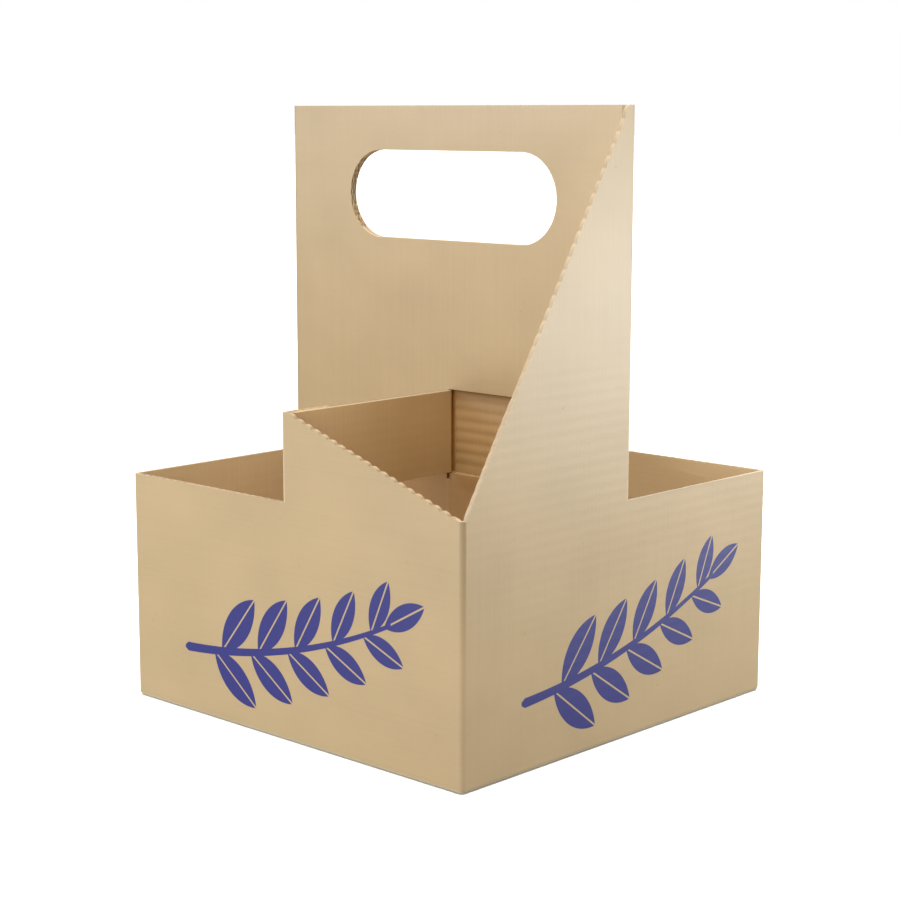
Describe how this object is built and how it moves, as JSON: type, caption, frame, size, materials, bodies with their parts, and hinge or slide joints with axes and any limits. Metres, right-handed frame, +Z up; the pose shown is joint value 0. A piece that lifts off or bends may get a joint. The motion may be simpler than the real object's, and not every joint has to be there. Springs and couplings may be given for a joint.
{
  "type": "cardboard cup carrier",
  "caption": "Folded corrugated board carrier with a square tray for tall cups, divider straps, slanting wings and an upright two-ply handle with an oval hand hole.",
  "frame": {"origin": "middle of the underside", "axes": "+Z up along the handle; the handle stands in the plane X = 0 and the straps lie in the plane Y = 0"},
  "size_m": [0.195, 0.195, 0.2565],
  "materials": {
    "kraft_board": "matt natural brown kraft liner, uncoated"
  },
  "bodies": {
    "root": {"folded_carrier": "kraft_board"}
  },
  "joints": []
}
